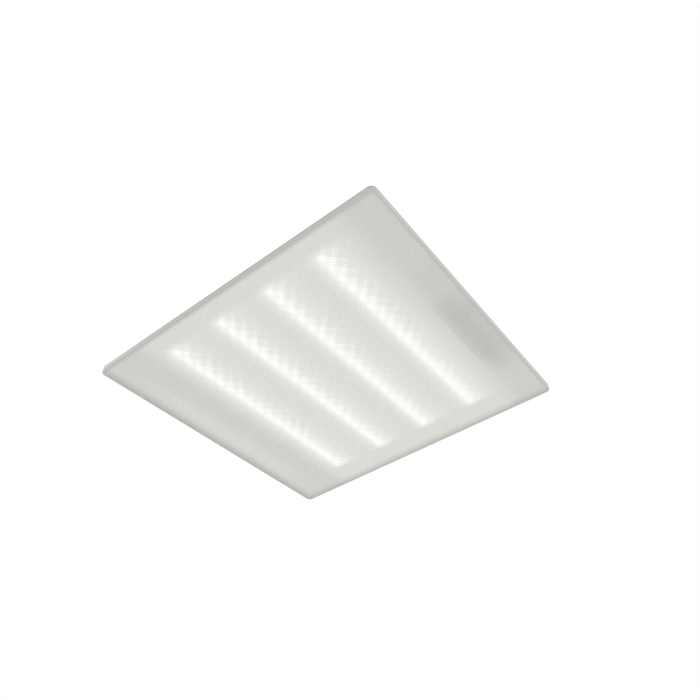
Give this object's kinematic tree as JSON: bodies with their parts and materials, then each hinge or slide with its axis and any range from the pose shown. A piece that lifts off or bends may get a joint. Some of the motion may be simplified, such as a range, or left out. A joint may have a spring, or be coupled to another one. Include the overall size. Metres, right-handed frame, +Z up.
{
  "type": "recessed troffer light",
  "caption": "Square recessed ceiling light: folded steel tray, LED strips on rails, driver and terminal bay, swing-out grid clips and a pull-off prismatic cover that fills the whole face.",
  "frame": {"origin": "centre of the visible face of the cover, at its underside", "axes": "+Z up into the ceiling, +X along the LED strips, the driver bay beside the -Y wall"},
  "size_m": [0.595, 0.595, 0.0503],
  "materials": {
    "prismatic_cover": "milky moulded plastic with fine prisms",
    "painted_steel": "white powder coat on sheet steel",
    "circuit_board_white": "white solder mask",
    "led_package": "white body with phosphor",
    "zinc_screw": "zinc plated",
    "connector_plastic": "natural nylon",
    "red_lead": "red insulation",
    "black_lead": "black insulation",
    "driver_metal": "plain sheet",
    "driver_plastic": "moulded, fine texture",
    "circuit_board_green": "green solder mask",
    "transformer_core": "ferrite",
    "capacitor_sleeve": "shrink sleeve",
    "brown_lead": "brown insulation",
    "blue_lead": "blue insulation",
    "earth_green_lead": "green and yellow insulation",
    "terminal_plastic": "natural nylon",
    "rubber_grommet": "soft black rubber",
    "tinned_copper": "tinned",
    "spring_steel": "zinc plated strip"
  },
  "bodies": {
    "housing": {"board_connectors": "connector_plastic", "cable_clamp": "terminal_plastic", "cable_clamp_screw": "zinc_screw", "cable_grommet": "rubber_grommet", "cover_springs": "spring_steel", "driver_base": "driver_metal", "driver_capacitors": "capacitor_sleeve", "driver_circuit_board": "circuit_board_green", "driver_cover": "driver_plastic", "driver_input_terminal": "connector_plastic", "driver_output_terminal": "connector_plastic", "driver_screw": "zinc_screw", "driver_transformer": "transformer_core", "earth_lead": "earth_green_lead", "earth_lug": "tinned_copper", "earth_nut": "zinc_screw", "earth_stud": "zinc_screw", "grid_clip_pins": "zinc_screw", "housing_tray": "painted_steel", "jumper_leads_negative": "black_lead", "jumper_leads_positive": "red_lead", "lead_combs": "terminal_plastic", "led_board_1": "circuit_board_white", "led_board_2": "circuit_board_white", "led_board_3": "circuit_board_white", "led_board_4": "circuit_board_white", "led_rail_1": "painted_steel", "led_rail_2": "painted_steel", "led_rail_3": "painted_steel", "led_rail_4": "painted_steel", "led_row_1": "led_package", "led_row_2": "led_package", "led_row_3": "led_package", "led_row_4": "led_package", "live_lead": "brown_lead", "neutral_lead": "blue_lead", "output_lead_negative": "black_lead", "output_lead_positive": "red_lead", "terminal_block": "terminal_plastic"},
    "cover": {"diffuser_cover": "prismatic_cover"},
    "grid_clip_1": {"grid_clip_1": "spring_steel"},
    "grid_clip_2": {"grid_clip_2": "spring_steel"},
    "grid_clip_3": {"grid_clip_3": "spring_steel"},
    "grid_clip_4": {"grid_clip_4": "spring_steel"}
  },
  "joints": [
    {"name": "cover_slide", "type": "slide", "parent": "housing", "child": "cover", "axis": [0, 0, -1], "range_m": [0, 0.06]},
    {"name": "grid_clip_1_pivot", "type": "hinge", "parent": "housing", "child": "grid_clip_1", "pos_m": [0.2628, 0.2308, 0.0459], "axis": [0, 0, 1], "range_deg": [0, 90]},
    {"name": "grid_clip_2_pivot", "type": "hinge", "parent": "housing", "child": "grid_clip_2", "pos_m": [-0.2628, 0.2308, 0.0459], "axis": [0, 0, -1], "range_deg": [0, 90]},
    {"name": "grid_clip_3_pivot", "type": "hinge", "parent": "housing", "child": "grid_clip_3", "pos_m": [-0.2628, -0.2308, 0.0459], "axis": [0, 0, 1], "range_deg": [0, 90]},
    {"name": "grid_clip_4_pivot", "type": "hinge", "parent": "housing", "child": "grid_clip_4", "pos_m": [0.2628, -0.2308, 0.0459], "axis": [0, 0, -1], "range_deg": [0, 90]}
  ]
}
